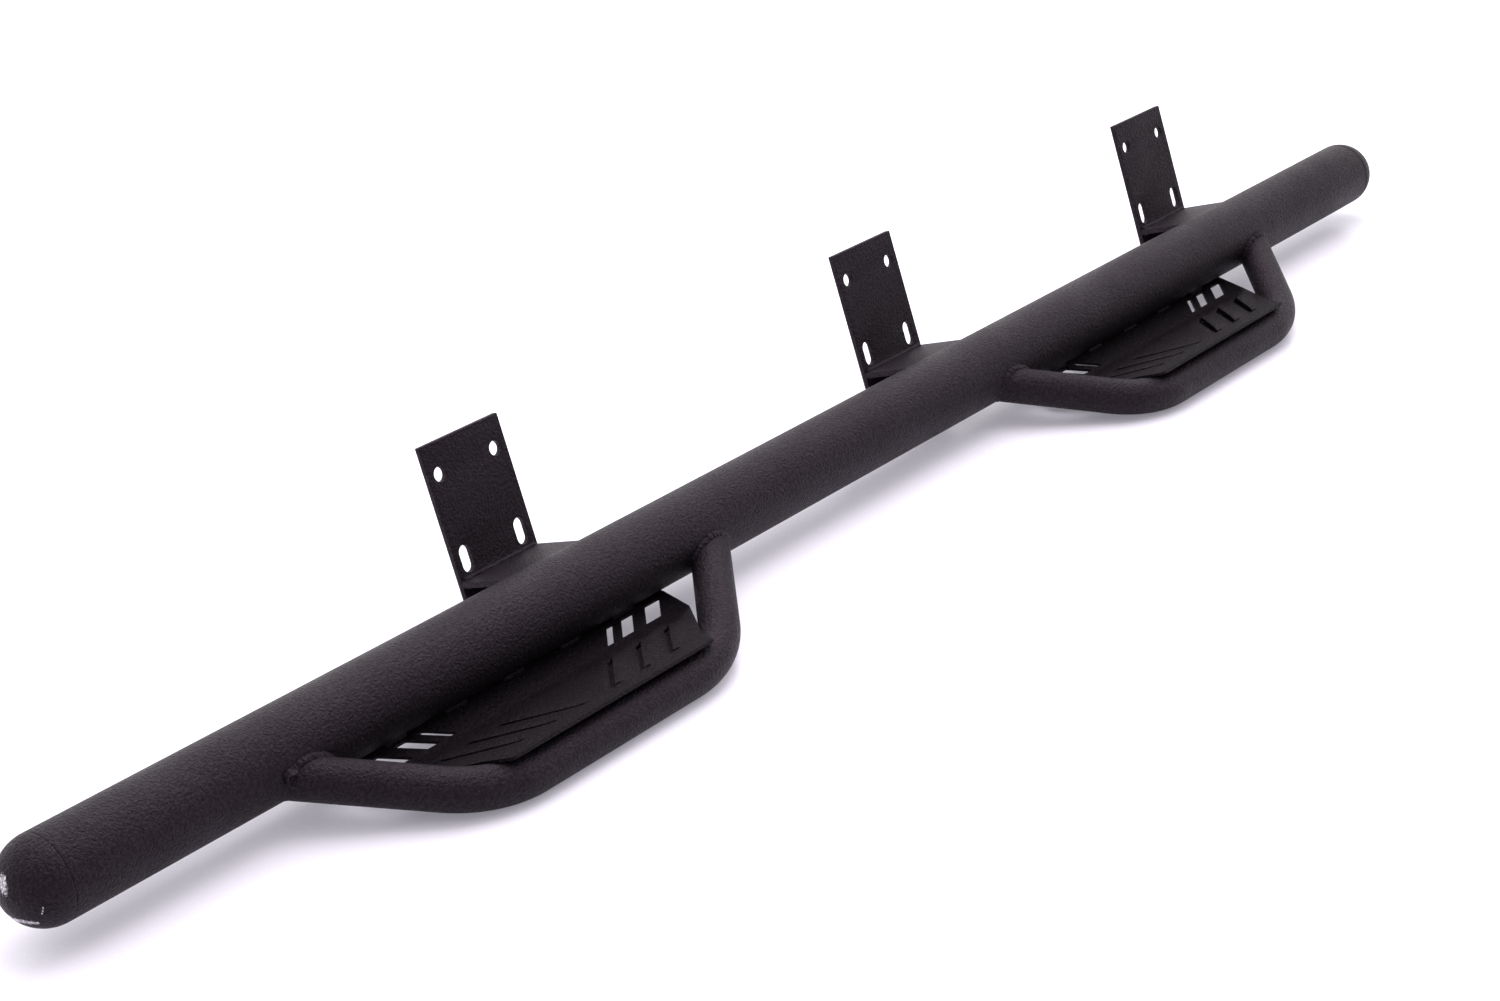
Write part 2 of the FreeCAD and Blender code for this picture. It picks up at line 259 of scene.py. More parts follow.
def powder_coat(name, tint, grain=1.0, orange=1.0, rough=0.50, dust=1.0, chips=(), gloss=0.17):
    """Black powder coat: fine grain, soft orange peel, dust, rubbed edges, and chips down to steel."""
    n = Nodes(name)
    fine = n.noise(1000.0, 2.0, 0.6)
    pebble = n.cells(760.0)
    peel = n.noise(360.0, 2.0, 0.6)
    cloud = n.noise(14.0, 4.0, 0.6)
    streak = n.noise(55.0, 3.0, 0.6)

    grit = n.math("MULTIPLY", fine, 0.4)
    grit = n.math("ADD", grit, n.math("MULTIPLY", peel, 0.6))
    colour = n.blend(n.span(grit, 0.40, 0.62), times(tint, 0.25), times(tint, 2.3))
    mottle = n.blend(n.span(cloud, 0.3, 0.72), times(tint, 0.86), times(tint, 1.16))
    colour = n.blend(0.3, colour, mottle)

    # a few pale specks of dust
    specks = n.math("MULTIPLY", n.span(n.noise(640.0, 2.0, 0.5), 0.70, 0.78), 0.35 * dust)
    colour = n.blend(specks, colour, (0.10, 0.095, 0.10))

    # edges rubbed a little paler
    geometry = n.add("ShaderNodeNewGeometry")
    edge = n.span(geometry.outputs["Pointiness"], 0.53, 0.62)
    edge = n.math("MULTIPLY", edge, n.span(streak, 0.35, 0.7, 0.15, 0.55))
    colour = n.blend(edge, colour, (0.060, 0.056, 0.062))

    roughness = n.span(cloud, 0.25, 0.75, rough - 0.05, rough + 0.07)
    roughness = n.math("ADD", roughness, n.math("MULTIPLY", n.math("SUBTRACT", grit, 0.5), -0.35))
    metal = None
    for offset, scale, radius, edge_width in chips:
        centre = AXIS + Vector(offset) * MM + X_AXIS * TUBE_LO[0]
        spot = n.near(centre, scale, radius * MM, edge_width * MM)
        metal = spot if metal is None else n.math("MAXIMUM", metal, spot)
    if metal is not None:
        scratches = n.span(n.noise(520.0, 3.0, 0.6), 0.35, 0.62)
        steel = n.blend(scratches, (0.20, 0.20, 0.21), (0.72, 0.72, 0.74))
        colour = n.blend(metal, colour, steel)
        roughness = n.math("SUBTRACT", roughness, n.math("MULTIPLY", metal, 0.22))
        n.link(n.math("MULTIPLY", metal, 0.35), n.shader.inputs["Metallic"])
    n.link(colour, n.shader.inputs["Base Color"])
    n.link(roughness, n.shader.inputs["Roughness"])

    normal = n.bump(peel, orange, 0.0021)
    normal = n.bump(pebble, 0.7 * grain, 0.0009, normal)
    normal = n.bump(fine, 0.60 * grain, 0.0006, normal)
    if metal is not None:
        normal = n.bump(n.math("SUBTRACT", 1.0, metal), 0.7, 0.0004, normal)
    n.link(normal, n.shader.inputs["Normal"])
    n.shader.inputs["Specular IOR Level"].default_value = gloss
    n.shader.inputs["Specular Tint"].default_value = COAT_GLOSS_TINT
    n.shader.inputs["IOR"].default_value = 1.5
    return n.material


def floor_material():
    """Pale, slightly shiny studio floor with a faint glow of its own."""
    n = Nodes("paper_floor")
    tone = n.noise(7.0, 3.0, 0.5)
    fibre = n.noise(420.0, 3.0, 0.6)
    paper = n.blend(n.span(tone, 0.3, 0.7), (0.69, 0.664, 0.730), (0.705, 0.679, 0.744))
    n.link(paper, n.shader.inputs["Base Color"])
    n.link(n.span(fibre, 0.3, 0.7, 0.20, 0.28), n.shader.inputs["Roughness"])
    n.link(n.bump(fibre, 0.10, 0.0001), n.shader.inputs["Normal"])
    n.shader.inputs["Specular IOR Level"].default_value = 0.30
    n.shader.inputs["Emission Color"].default_value = (1.02, 0.98, 1.11, 1.0)
    n.shader.inputs["Emission Strength"].default_value = 0.19
    return n.material


# ---------------------------------------------------------------- mesh making

def piece(name, mesh, node, material, sharp=30.0):
    """Registers a mesh as a piece that replaces a CAD node; edges over sharp degrees stay crisp."""
    obj = bpy.data.objects.new(name, mesh)
    bpy.context.scene.collection.objects.link(obj)
    mesh.materials.clear()
    mesh.materials.append(material)
    mesh.shade_smooth()
    mesh.set_sharp_from_angle(angle=math.radians(sharp))
    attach(obj, "root")
    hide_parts(node)
    return obj


def mesh_of(name, verts, faces):
    """Closed mesh with its faces turned outwards."""
    mesh = bpy.data.meshes.new(name)
    mesh.from_pydata([tuple(v) for v in verts], [], faces)
    bm = bmesh.new()
    bm.from_mesh(mesh)
    bmesh.ops.recalc_face_normals(bm, faces=bm.faces)
    bm.to_mesh(mesh)
    bm.free()
    mesh.validate()
    return mesh


def lathe(name, profile):
    """Closed skin turned about the main tube's axis from (x, radius) pairs; the ends are on the axis."""
    count = 128
    verts = [(profile[0][0], AXIS_Y, AXIS_Z)]
    for x, r in profile[1:-1]:
        for i in range(count):
            a = 2 * math.pi * i / count
            verts.append((x, AXIS_Y + r * math.cos(a), AXIS_Z + r * math.sin(a)))
    verts.append((profile[-1][0], AXIS_Y, AXIS_Z))
    rings = len(profile) - 2
    last = len(verts) - 1
    faces = []
    for i in range(count):
        j = (i + 1) % count
        faces.append((0, 1 + j, 1 + i))
        for k in range(rings - 1):
            a = 1 + k * count
            faces.append((a + i, a + j, a + count + j, a + count + i))
        a = 1 + (rings - 1) * count
        faces.append((a + i, a + j, last))
    return mesh_of(name, verts, faces)


def sweep(name, path, ring, closed=False):
    """Skin through rings of points: ring(k, point, way) gives the ring at a path point."""
    rows = []
    total = len(path)
    for k, point in enumerate(path):
        before = path[k - 1] if k > 0 or closed else path[k]
        after = path[(k + 1) % total] if k < total - 1 or closed else path[k]
        rows.append(ring(k, point, (after - before).normalized()))
    n = len(rows[0])
    verts = [v for row in rows for v in row]
    faces = []
    for k in range(total if closed else total - 1):
        a = k * n
        b = ((k + 1) % total) * n
        for i in range(n):
            j = (i + 1) % n
            faces.append((a + i, a + j, b + j, b + i))
    if not closed:
        faces.append(tuple(range(n)))
        faces.append(tuple(range((total - 1) * n, total * n)))
    return mesh_of(name, verts, faces)


# ---------------------------------------------------------------- tube and caps

def seam_step():
    """Small rounded shoulder where a cap meets the tube: distances from the end and the radius at each."""
    return [(SEAM_WIDTH * (1 - math.cos(t)), TUBE_R - SEAM_DEPTH * (1 - math.sin(t)))
            for t in (0.0, math.pi / 6, math.pi / 3, math.pi / 2)]


def make_tube(material):
    x0, x1 = TUBE_LO[0], TUBE_HI[0]
    steps = 24
    profile = [(x0, 0.0)]
    profile += [(x0 + dx, r) for dx, r in seam_step()]
    profile += [(x0 + (x1 - x0) * k / steps, TUBE_R) for k in range(1, steps)]
    profile += [(x1 - dx, r) for dx, r in reversed(seam_step())]
    profile.append((x1, 0.0))
    name = "main_tube_skin"
    piece(name, lathe(name, profile), "main_tube", material)


def make_cap(node, x, side, material):
    """Domed cap with a slightly flattened crown; its first steps are the seam's."""
    steps = 37
    profile = [(x, 0.0)]
    profile += [(x + side * dx, r) for dx, r in seam_step()]
    for k in range(3, steps):
        a = math.pi / 2 * k / steps
        profile.append((x + side * TUBE_R * math.sin(a) ** 1.02, TUBE_R * math.cos(a) ** 0.98))
    profile.append((x + side * TUBE_R, 0.0))
    name = node + "_dome"
    piece(name, lathe(name, profile), node, material)


# ---------------------------------------------------------------- hoops

def hoop_corners(centre):
    """The hoop's two leg starts inside the main tube and, between them, its two corners before bending."""
    t = LEG_START_Y / RUN_Y
    half = ROOT_HALF + (RUN_HALF - ROOT_HALF) * t
    z = ROOT_Z + (RUN_Z - ROOT_Z) * t
    at = AXIS + X_AXIS * centre
    return [at + Vector(p) for p in ((-half, LEG_START_Y, z), (-RUN_HALF, RUN_Y, RUN_Z),
                                     (RUN_HALF, RUN_Y, RUN_Z), (half, LEG_START_Y, z))]


def hoop_path(centre):
    """Centre line of a hoop: leg, bend, straight run, bend, leg."""
    bend_steps = 30
    p = hoop_corners(centre)
    path = [p[0] + (p[1] - p[0]) * k / 10 for k in range(5)]
    for i in (1, 2):
        a = (p[i] - p[i - 1]).normalized()
        b = (p[i + 1] - p[i]).normalized()
        turn = a.angle(b)
        reach = HOOP_BEND_R * math.tan(turn / 2)
        pivot = p[i] + (b - a).normalized() * (HOOP_BEND_R / math.cos(turn / 2))
        axis = a.cross(b).normalized()
        first = p[i] - a * reach - pivot
        for k in range(bend_steps + 1):
            path.append(pivot + Matrix.Rotation(turn * k / bend_steps, 3, axis) @ first)
        if i == 1:
            run = (p[2] - p[1]) - b * reach * 2
            base = path[-1].copy()
            path += [base + run * k / 8 for k in range(1, 8)]
    path += [p[3] + (p[2] - p[3]) * k / 10 for k in range(4, -1, -1)]
    return path


def make_hoop(side, centre, material):
    p = hoop_corners(centre)
    across = (p[1] - p[0]).cross(p[2] - p[1]).normalized()

    def ring(k, point, way):
        out = way.cross(across).normalized()
        return [point + (across * math.cos(t) + out * math.sin(t)) * HOOP_R
                for t in (2 * math.pi * i / 72 for i in range(72))]

    name = side + "_hoop_bar"
    piece(name, sweep(name, hoop_path(centre), ring), side + "_step_hoop", material, 50.0)


# ---------------------------------------------------------------- weld beads

def ripple(s, lift, pitch):
    """Overlapping scales at a distance s along a bead; lift is 0 at its toes and 1 at its crown."""
    phase = (s + BEAD_LAG * lift) / pitch
    saw = phase - math.floor(phase)
    scale = 0.55 * (1 - saw) ** 0.7 * min(1.0, saw * 7)
    return scale + 0.15 * math.sin(s * 310.0 + 1.3) + 0.10 * math.sin(s * 127.0)


def bead_mesh(name, path, outs, radius, closed=False, tall=1.0):
    """Rippled bead along a path; outs gives the direction of the bead's crown at each point."""
    around = 18
    pitch = BEAD_PITCH
    lengths = [0.0]
    for a, b in zip(path, path[1:]):
        lengths.append(lengths[-1] + (b - a).length)
    whole = lengths[-1] + ((path[0] - path[-1]).length if closed else 0.0)
    if closed:
        pitch = whole / max(1, round(whole / pitch))

    def ring(k, point, way):
        s = lengths[k]
        crown = outs[k]
        side = way.cross(crown).normalized()
        crown = side.cross(way).normalized()
        from_end = max(0.0, min(s, whole - s))
        fade = 1.0 if closed else min(1.0, 0.25 + math.sqrt(from_end / (radius * 1.5)))
        wide = radius * (1 + 0.05 * math.sin(s * 95.0))
        points = []
        for i in range(around):
            t = 2 * math.pi * i / around
            up = max(0.0, math.sin(t))
            r = wide * (1 + 0.09 * ripple(s, up, pitch) * up) * fade
            points.append(point + side * math.cos(t) * r + crown * math.sin(t) * r * tall)
        return points

    return sweep(name, path, ring, closed)


def leg_joint(centre, side):
    """Points round the joint of a leg's skin and the main tube's skin, with outward directions."""
    count = 300
    p = hoop_corners(centre)
    root, corner = (p[0], p[1]) if side < 0 else (p[3], p[2])
    way = (corner - root).normalized()
    u = way.cross(X_AXIS).normalized()
    v = way.cross(u).normalized()
    points, outs = [], []
    for i in range(count):
        t = 2 * math.pi * i / count
        spoke = u * math.cos(t) + v * math.sin(t)
        base = root + spoke * HOOP_R - AXIS
        # where the leg's line through base leaves the main tube
        a = way.y ** 2 + way.z ** 2
        b = 2 * (base.y * way.y + base.z * way.z)
        c = base.y ** 2 + base.z ** 2 - TUBE_R ** 2
        far = (-b + math.sqrt(b * b - 4 * a * c)) / (2 * a)
        at = base + way * far
        normal = Vector((0, at.y, at.z)).normalized()
        away = (spoke - normal * spoke.dot(normal)).normalized()
        outs.append((normal + away * 0.9).normalized())
        # the bead is fuller and lumpy on the leg's upper side
        full = (0.5 + 0.5 * spoke.z) ** 2
        lump = math.sin(29 * t + 1.6 * math.sin(7 * t)) * (0.6 + 0.4 * math.sin(3 * t + 1.0))
        points.append(at + AXIS + away * ((1.5 + 0.6 * lump) * full - 0.6) * MM
                      + normal * ((1.8 + 0.6 * lump) * full - 1.2) * MM)
    return points, outs


def make_leg_weld(hoop, centre, side, material):
    node = hoop + "_hoop_weld_" + ("left" if side < 0 else "right")
    name = node + "_bead"
    points, outs = leg_joint(centre, side)
    mesh = bead_mesh(name, points, outs, LEG_BEAD_R, closed=True, tall=0.6)
    piece(name, mesh, node, material, 60.0)


def straight_bead(x0, x1, y, z, crown, radius):
    """Bead parallel to X whose crown faces the direction given."""
    a, b = Vector((x0, y, z)), Vector((x1, y, z))
    steps = max(4, int((b - a).length / (0.6 * MM)))
    path = [a + (b - a) * k / steps for k in range(steps + 1)]
    return bead_mesh("bead", path, [Vector(crown).normalized()] * len(path), radius)


def joined(name, meshes):
    """One mesh from several."""
    bm = bmesh.new()
    for mesh in meshes:
        bm.from_mesh(mesh)
    whole = bpy.data.meshes.new(name)
    bm.to_mesh(whole)
    bm.free()
    return whole


# ---------------------------------------------------------------- plates

def cut_plate(name, outline, holes, thickness, place):
    """Plate from a flat outline with holes, its edges slightly rounded by the coating."""
    curve = bpy.data.curves.new(name, "CURVE")
    curve.dimensions = "2D"
    curve.fill_mode = "BOTH"
    curve.extrude = thickness / 2 - COATED_RIM
    curve.bevel_depth = COATED_RIM
    curve.bevel_resolution = 3
    curve.offset = -COATED_RIM
    for loop in [outline] + holes:
        spline = curve.splines.new("POLY")
        spline.points.add(len(loop) - 1)
        for point, (x, y) in zip(spline.points, loop):
            point.co = (x, y, 0.0, 1.0)
        spline.use_cyclic_u = True
    holder = bpy.data.objects.new(name + "_curve", curve)
    bpy.context.scene.collection.objects.link(holder)
    bpy.context.view_layer.update()
    graph = bpy.context.evaluated_depsgraph_get()
    mesh = bpy.data.meshes.new_from_object(holder.evaluated_get(graph))
    bpy.data.objects.remove(holder)
    bm = bmesh.new()
    bm.from_mesh(mesh)
    bmesh.ops.remove_doubles(bm, verts=bm.verts, dist=2e-6)
    bmesh.ops.recalc_face_normals(bm, faces=bm.faces)
    bm.to_mesh(mesh)
    bm.free()
    mesh.transform(place)
    return mesh


def rounded(corners, radius, steps=5):
    """Outline with its convex corners rounded."""
    points = []
    total = len(corners)
    for i in range(total):
        here = Vector(corners[i])
        a = (Vector(corners[i - 1]) - here).normalized()
        b = (Vector(corners[(i + 1) % total]) - here).normalized()
        for k in range(steps + 1):
            t = k / steps
            p = here + a * radius * (1 - t) ** 2 + b * radius * t ** 2
            points.append((p.x, p.y))
    return points


def circle(x, y, r):
    count = 48
    turns = [2 * math.pi * i / count for i in range(count)]
    return [(x + r * math.cos(a), y + r * math.sin(a)) for a in turns]


def long_hole(x, y, r, length):
    """Upright hole with round ends."""
    count = 24
    reach = length / 2 - r
    points = []
    for end, start in ((1, 0.0), (-1, math.pi)):
        for i in range(count + 1):
            a = start + math.pi * i / count
            points.append((x + r * math.cos(a), y + end * reach + r * math.sin(a)))
    return points


def tube_back(z):
    """Y of the main tube's rear skin at a height."""
    return AXIS_Y + math.sqrt(TUBE_R ** 2 - (z - AXIS_Z) ** 2)


def make_bolt_plate(side, material):
    """Upright plate with two round holes over two long ones; the round ones are level with the origin."""
    lo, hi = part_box(side + "_mount_plate")
    half = (hi[0] - lo[0]) / 2
    holes = []
    for s in (-1, 1):
        holes.append(circle(s * HOLE_X, 0.0, HOLE_R))
        holes.append(long_hole(s * HOLE_X, -LONG_HOLE_DROP, HOLE_R, LONG_HOLE))
    outline = rounded([(-half, lo[2]), (half, lo[2]), (half, hi[2]), (-half, hi[2])], 1.2 * MM)
    at = Matrix.Translation(((lo[0] + hi[0]) / 2, (lo[1] + hi[1]) / 2, 0.0))
    name = side + "_bolt_plate"
    mesh = cut_plate(name, outline, holes, hi[1] - lo[1], at @ Matrix.Rotation(math.pi / 2, 4, "X"))
    piece(name, mesh, side + "_mount_plate", material, 40.0)


def make_arm_plate(side, material):
    """Flat arm from just inside the main tube's skin to the bolt plate."""
    lo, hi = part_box(side + "_mount_arm")
    deep = tube_back(hi[2]) - 4 * MM
    outline = rounded([(lo[0], deep), (hi[0], deep), (hi[0], hi[1]), (lo[0], hi[1])], 0.8 * MM)
    at = Matrix.Translation((0, 0, (lo[2] + hi[2]) / 2))
    name = side + "_arm_plate"
    mesh = cut_plate(name, outline, [], hi[2] - lo[2], at)
    piece(name, mesh, side + "_mount_arm", material, 40.0)


def make_web_plate(side, material):
    """Upright web under the arm, with a slanted lower edge."""
    lo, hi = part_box(side + "_mount_gusset")
    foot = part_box(side + "_mount_plate")[0][2]
    corners = [(AXIS_Y + 24 * MM, foot - 9 * MM), (hi[1], foot + 6 * MM),
               (hi[1], hi[2]), (AXIS_Y + 28 * MM, hi[2])]
    at = Matrix.Translation(((lo[0] + hi[0]) / 2, 0, 0))
    upright = Matrix(((0, 0, 1, 0), (1, 0, 0, 0), (0, 1, 0, 0), (0, 0, 0, 1)))
    name = side + "_web_plate"
    mesh = cut_plate(name, rounded(corners, 0.6 * MM), [], hi[0] - lo[0], at @ upright)
    piece(name, mesh, side + "_mount_gusset", material, 40.0)


def make_arm_welds(side, material):
    """Beads above and below the arm at both of its ends; the web parts the lower ones."""
    lo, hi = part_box(side + "_mount_arm")
    lo_plate, hi_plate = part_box(side + "_mount_plate")
    lo_web, hi_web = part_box(side + "_mount_gusset")
    mid = (lo_plate[0] + hi_plate[0]) / 2
    reach = (hi_plate[0] - lo_plate[0]) / 2 - 3 * MM
    web = (hi_web[0] - lo_web[0]) / 2 + 2.5 * MM
    beads = {"tube": [], "plate": []}
    for face, up in ((hi[2], 1), (lo[2], -1)):
        z = face + up * 0.3 * MM
        for a, b in [(-reach, reach)] if up > 0 else [(-reach, -web), (web, reach)]:
            for end, y, crown in (("tube", tube_back(face) + 0.6 * MM, (0, 0.35, up)),
                                  ("plate", hi[1] - 0.4 * MM, (0, -0.8, up))):
                beads[end].append(straight_bead(mid + a, mid + b, y, z, crown, PLATE_BEAD_R))
    for end, meshes in beads.items():
        name = side + "_arm_to_" + end + "_bead"
        node = side + "_arm_to_" + end + "_weld"
        piece(name, joined(name, meshes), node, material, 60.0)


# ---------------------------------------------------------------- step plates

def smooth(t):
    """Soft step from 0 to 1."""
    t = max(0.0, min(1.0, t))
    return t * t * (3 - 2 * t)


def slope_at(u):
    """Slope of the sheet at a distance u from the bend line, rising towards the tube."""
    bend = smooth((u + BEND_HALF) / (2 * BEND_HALF))
    slope = TREAD_SLOPE + (FLANGE_SLOPE - TREAD_SLOPE) * bend
    crease = smooth((LIP_START - u) / (0.8 * MM))
    lip = smooth((LIP_START - LIP_FOLD - u) / (1.6 * MM))
    return slope + LIP_CREASE * crease + LIP_SLOPE * lip


def section():
    """Sheet's cross-section as a table from u to (y, z), summed from its slope."""
    step = 0.25 * MM
    reach = 480
    table = {0: (0.0, 0.0)}
    for sign in (-1, 1):
        y = z = 0.0
        for k in range(1, reach + 1):
            a = slope_at(sign * (k - 0.5) * step)
            y += sign * step * math.cos(a)
            z += sign * step * math.sin(a)
            table[sign * k] = (y, z)
    return step, table


SECTION_STEP, SECTION = section()


def on_sheet(u):
    """The section's y and z from the bend line at a distance u along the sheet."""
    k = math.floor(u / SECTION_STEP)
    t = u / SECTION_STEP - k
    a, b = SECTION[k], SECTION[k + 1]
    return a[0] * (1 - t) + b[0] * t, a[1] * (1 - t) + b[1] * t


def sheet_point(centre, x, u, height):
    """Point over the flat sheet: x across from its middle, u along it from the bend, height over its top."""
    y, z = on_sheet(u)
    a = slope_at(u)
    y += AXIS_Y + BEND_Y - height * math.sin(a)
    z += AXIS_Z + BEND_Z + height * math.cos(a)
    return centre + x, y, z


def flap_rise(x, u):
    """Height of the stamped flaps over the flat tread: a is measured from a flap's slit, b from its foot."""
    side = abs(x)
    height = LEFT_RISE if x < 0 else RIGHT_RISE
    top = 0.0
    b = u - FLAP_FRONT
    if -6 * MM < b < FLAP_REACH + 4 * MM:
        back = smooth((FLAP_REACH + 3 * MM - b) / (13 * MM))
        for foot in FLAP_FEET:
            a = side - foot - b
            if a < -0.3 * MM:
                # the other lip of the slit is pressed down a little
                if a > -11 * MM and b > 0:
                    press = smooth(b / (8 * MM)) * back * smooth(1 + (a + SLIT_GAP) / (7 * MM))
                    top = min(top, -SLIT_PRESS * press) if top <= 0 else top
            elif a < FLAP_WIDTH:
                # the front end is cut free near the slit and drawn smoothly beyond it
                cut = 1 - smooth((side - foot - FOOT_CUT + 1.5 * MM) / (4 * MM))
                free = 0.45 + 0.55 * smooth(b / (14 * MM)) if b > -0.4 * MM else 0
                front = cut * free + (1 - cut) * smooth((b + 5 * MM) / (14 * MM))
                lift = height * back * front * (1 - smooth(a / FLAP_WIDTH)) ** 0.85
                top = lift if abs(lift) > abs(top) else top
    return top


def sheet_outline():
    """Flat sheet's outline: the flange's edge behind, then shoulders and a straight nose in front."""
    half = PLATE_HALF
    corners = [(-half, FLANGE_RUN), (-half, 0.0), (-SHOULDER[0], SHOULDER[1]), (-NOSE[0], NOSE[1]),
               (NOSE[0], NOSE[1]), (SHOULDER[0], SHOULDER[1]), (half, 0.0), (half, FLANGE_RUN)]
    return rounded(corners, 2.5 * MM, 4)


def slanted_cuts():
    """Openings in the sheet: slits beside the flaps and drain slots in the flange."""
    cuts = []
    reach = FLAP_REACH - 4 * MM
    rise = SLOT_HIGH - SLOT_LOW
    u0, u1 = FLAP_FRONT, FLAP_FRONT + reach
    for s in (-1, 1):
        for foot in FLAP_FEET:
            corners = [(foot + FOOT_CUT, u0), (foot + FOOT_CUT, u0 - FOOT_GAP),
                       (foot - SLIT_GAP * 0.7, u0 - FOOT_GAP), (foot + reach - SLIT_GAP, u1 - 1.5 * MM),
                       (foot + reach, u1), (foot, u0)]
            cuts.append([(s * x, u) for x, u in corners])
        for start, width in FLANGE_SLOTS:
            corners = [(s * start, SLOT_LOW), (s * (start + width), SLOT_LOW),
                       (s * (start + width + rise), SLOT_HIGH), (s * (start + rise), SLOT_HIGH)]
            cuts.append(rounded(corners, 0.9 * MM, 3))
    return cuts


def inside(loop, x, y):
    """Whether a point is inside a closed outline."""
    hit = False
    j = len(loop) - 1
    for i in range(len(loop)):
        xi, yi = loop[i]
        xj, yj = loop[j]
        if (yi > y) != (yj > y) and x < (xj - xi) * (y - yi) / (yj - yi) + xi:
            hit = not hit
        j = i
    return hit


def divide(loop, step):
    """A closed outline's corners with evenly spaced points between them."""
    points = []
    for i in range(len(loop)):
        a = Vector(loop[i])
        b = Vector(loop[(i + 1) % len(loop)])
        n = max(1, round((b - a).length / step))
        points += [a + (b - a) * k / n for k in range(n)]
    return points


def fill_points(outline, cuts, edge_points, step):
    """Staggered rows of points inside the outline, clear of the cuts and of every point on an edge."""

    def cell(x, u):
        return math.floor(x / step), math.floor(u / step)

    def in_metal(x, u):
        return inside(outline, x, u) and not any(inside(cut, x, u) for cut in cuts)

    buckets = {}
    for p in edge_points:
        buckets.setdefault(cell(*p), []).append(p)
    points = []
    row = 0
    u = NOSE[1] + step * 0.5
    while u < FLANGE_RUN:
        x = -PLATE_HALF + (row % 2) * step / 2
        while x < PLATE_HALF:
            if in_metal(x, u):
                bx, bu = cell(x, u)
                near = [q for i in (-1, 0, 1) for j in (-1, 0, 1) for q in buckets.get((bx + i, bu + j), [])]
                if all((q - Vector((x, u))).length > step * 0.55 for q in near):
                    points.append(Vector((x, u)))
            x += step
        u += step * 0.87
        row += 1
    return points


def sheet_mesh(name, centre):
    """Stamped sheet: triangles of even size, with every cut on mesh edges."""
    step = 2.6 * MM
    outline = sheet_outline()
    cuts = slanted_cuts()
    points, edges = [], []
    for loop in [outline] + cuts:
        base = len(points)
        points += divide(loop, step)
        n = len(points) - base
        edges += [(base + i, base + (i + 1) % n) for i in range(n)]
    points += fill_points(outline, cuts, points, step)
    flat, _, tris, *_ = delaunay_2d_cdt(points, edges, [], 0, 1e-7)
    faces = []
    for t in tris:
        x = sum(flat[i].x for i in t) / 3
        u = sum(flat[i].y for i in t) / 3
        if inside(outline, x, u) and not any(inside(cut, x, u) for cut in cuts):
            faces.append(tuple(t))
    verts = [sheet_point(centre, p.x, p.y, flap_rise(p.x, p.y)) for p in flat]
    mesh = bpy.data.meshes.new(name)
    mesh.from_pydata(verts, [], faces)
    bm = bmesh.new()
    bm.from_mesh(mesh)
    bmesh.ops.delete(bm, geom=[v for v in bm.verts if not v.link_faces], context="VERTS")
    bmesh.ops.recalc_face_normals(bm, faces=bm.faces)
    if sum(f.normal.z for f in bm.faces) < 0:
        bmesh.ops.reverse_faces(bm, faces=bm.faces)
    bm.to_mesh(mesh)
    bm.free()
    return mesh


def slit_shade_backings(name, centre):
    """Dark shallow troughs under the slits, put there as painted shade so the slits read dark instead of
    showing the floor.
    """
    trough_rows = ((-SLIT_GAP - 6 * MM, TROUGH_EDGE), (-SLIT_GAP - 3 * MM, TROUGH_DEEP),
             (3.5 * MM, TROUGH_DEEP), (9 * MM, TROUGH_EDGE))
    count = 24
    verts, faces = [], []
    for s in (-1, 1):
        for foot in FLAP_FEET:
            base = len(verts)
            for k in range(count + 1):
                b = -3 * MM + (FLAP_REACH + 12 * MM) * k / count
                for side, depth in trough_rows:
                    verts.append(sheet_point(centre, s * (foot + b + side), FLAP_FRONT + b, -depth))
            for k in range(count):
                for j in range(3):
                    i = base + 4 * k + j
                    quad = (i, i + 1, i + 5, i + 4)
                    faces.append(quad if s > 0 else quad[::-1])
    mesh = bpy.data.meshes.new(name)
    mesh.from_pydata(verts, [], faces)
    return mesh


def make_step_plate(side, centre, material):
    """Stamped sheet given its thickness and slightly rounded, coated edges."""
    name = side + "_tread_sheet"
    # the sheet is joined with dark troughs under its slits, which are painted shade
    mesh = joined(name, [sheet_mesh(name, centre), slit_shade_backings(name + "_backs", centre)])
    obj = piece(name, mesh, side + "_step_plate", material, 40.0)
    thick = obj.modifiers.new("sheet", "SOLIDIFY")
    thick.thickness = SHEET
    thick.offset = -1.0
    thick.use_even_offset = True
    soft = obj.modifiers.new("coated_edge", "BEVEL")
    soft.width = 0.55 * MM
    soft.segments = 2
    soft.limit_method = "ANGLE"
    soft.angle_limit = math.radians(50)
    soft.harden_normals = True


def make_step_welds(side, centre, material):
    """Stitch welds: five along the flange on the main tube, three between the sheet and the hoop's run."""
    _, flange_y, flange_z = sheet_point(centre, 0.0, 33.2 * MM, 0.0)
    rows = ((2, 72 * MM, flange_y, flange_z, (0, -0.75, 0.3)),
            (1, 78 * MM, AXIS_Y + RUN_Y + 3.6 * MM, AXIS_Z + RUN_Z + 20.5 * MM, (0, 0.9, 0.2)))
    meshes = []
    for reach, pitch, y, z, crown in rows:
        for k in range(-reach, reach + 1):
            x = centre + k * pitch
            meshes.append(straight_bead(x - STITCH_HALF, x + STITCH_HALF, y, z, crown, STITCH_R))
    name = side + "_tread_beads"
    piece(name, joined(name, meshes), side + "_step_plate_welds", material, 60.0)


# ---------------------------------------------------------------- plug weld

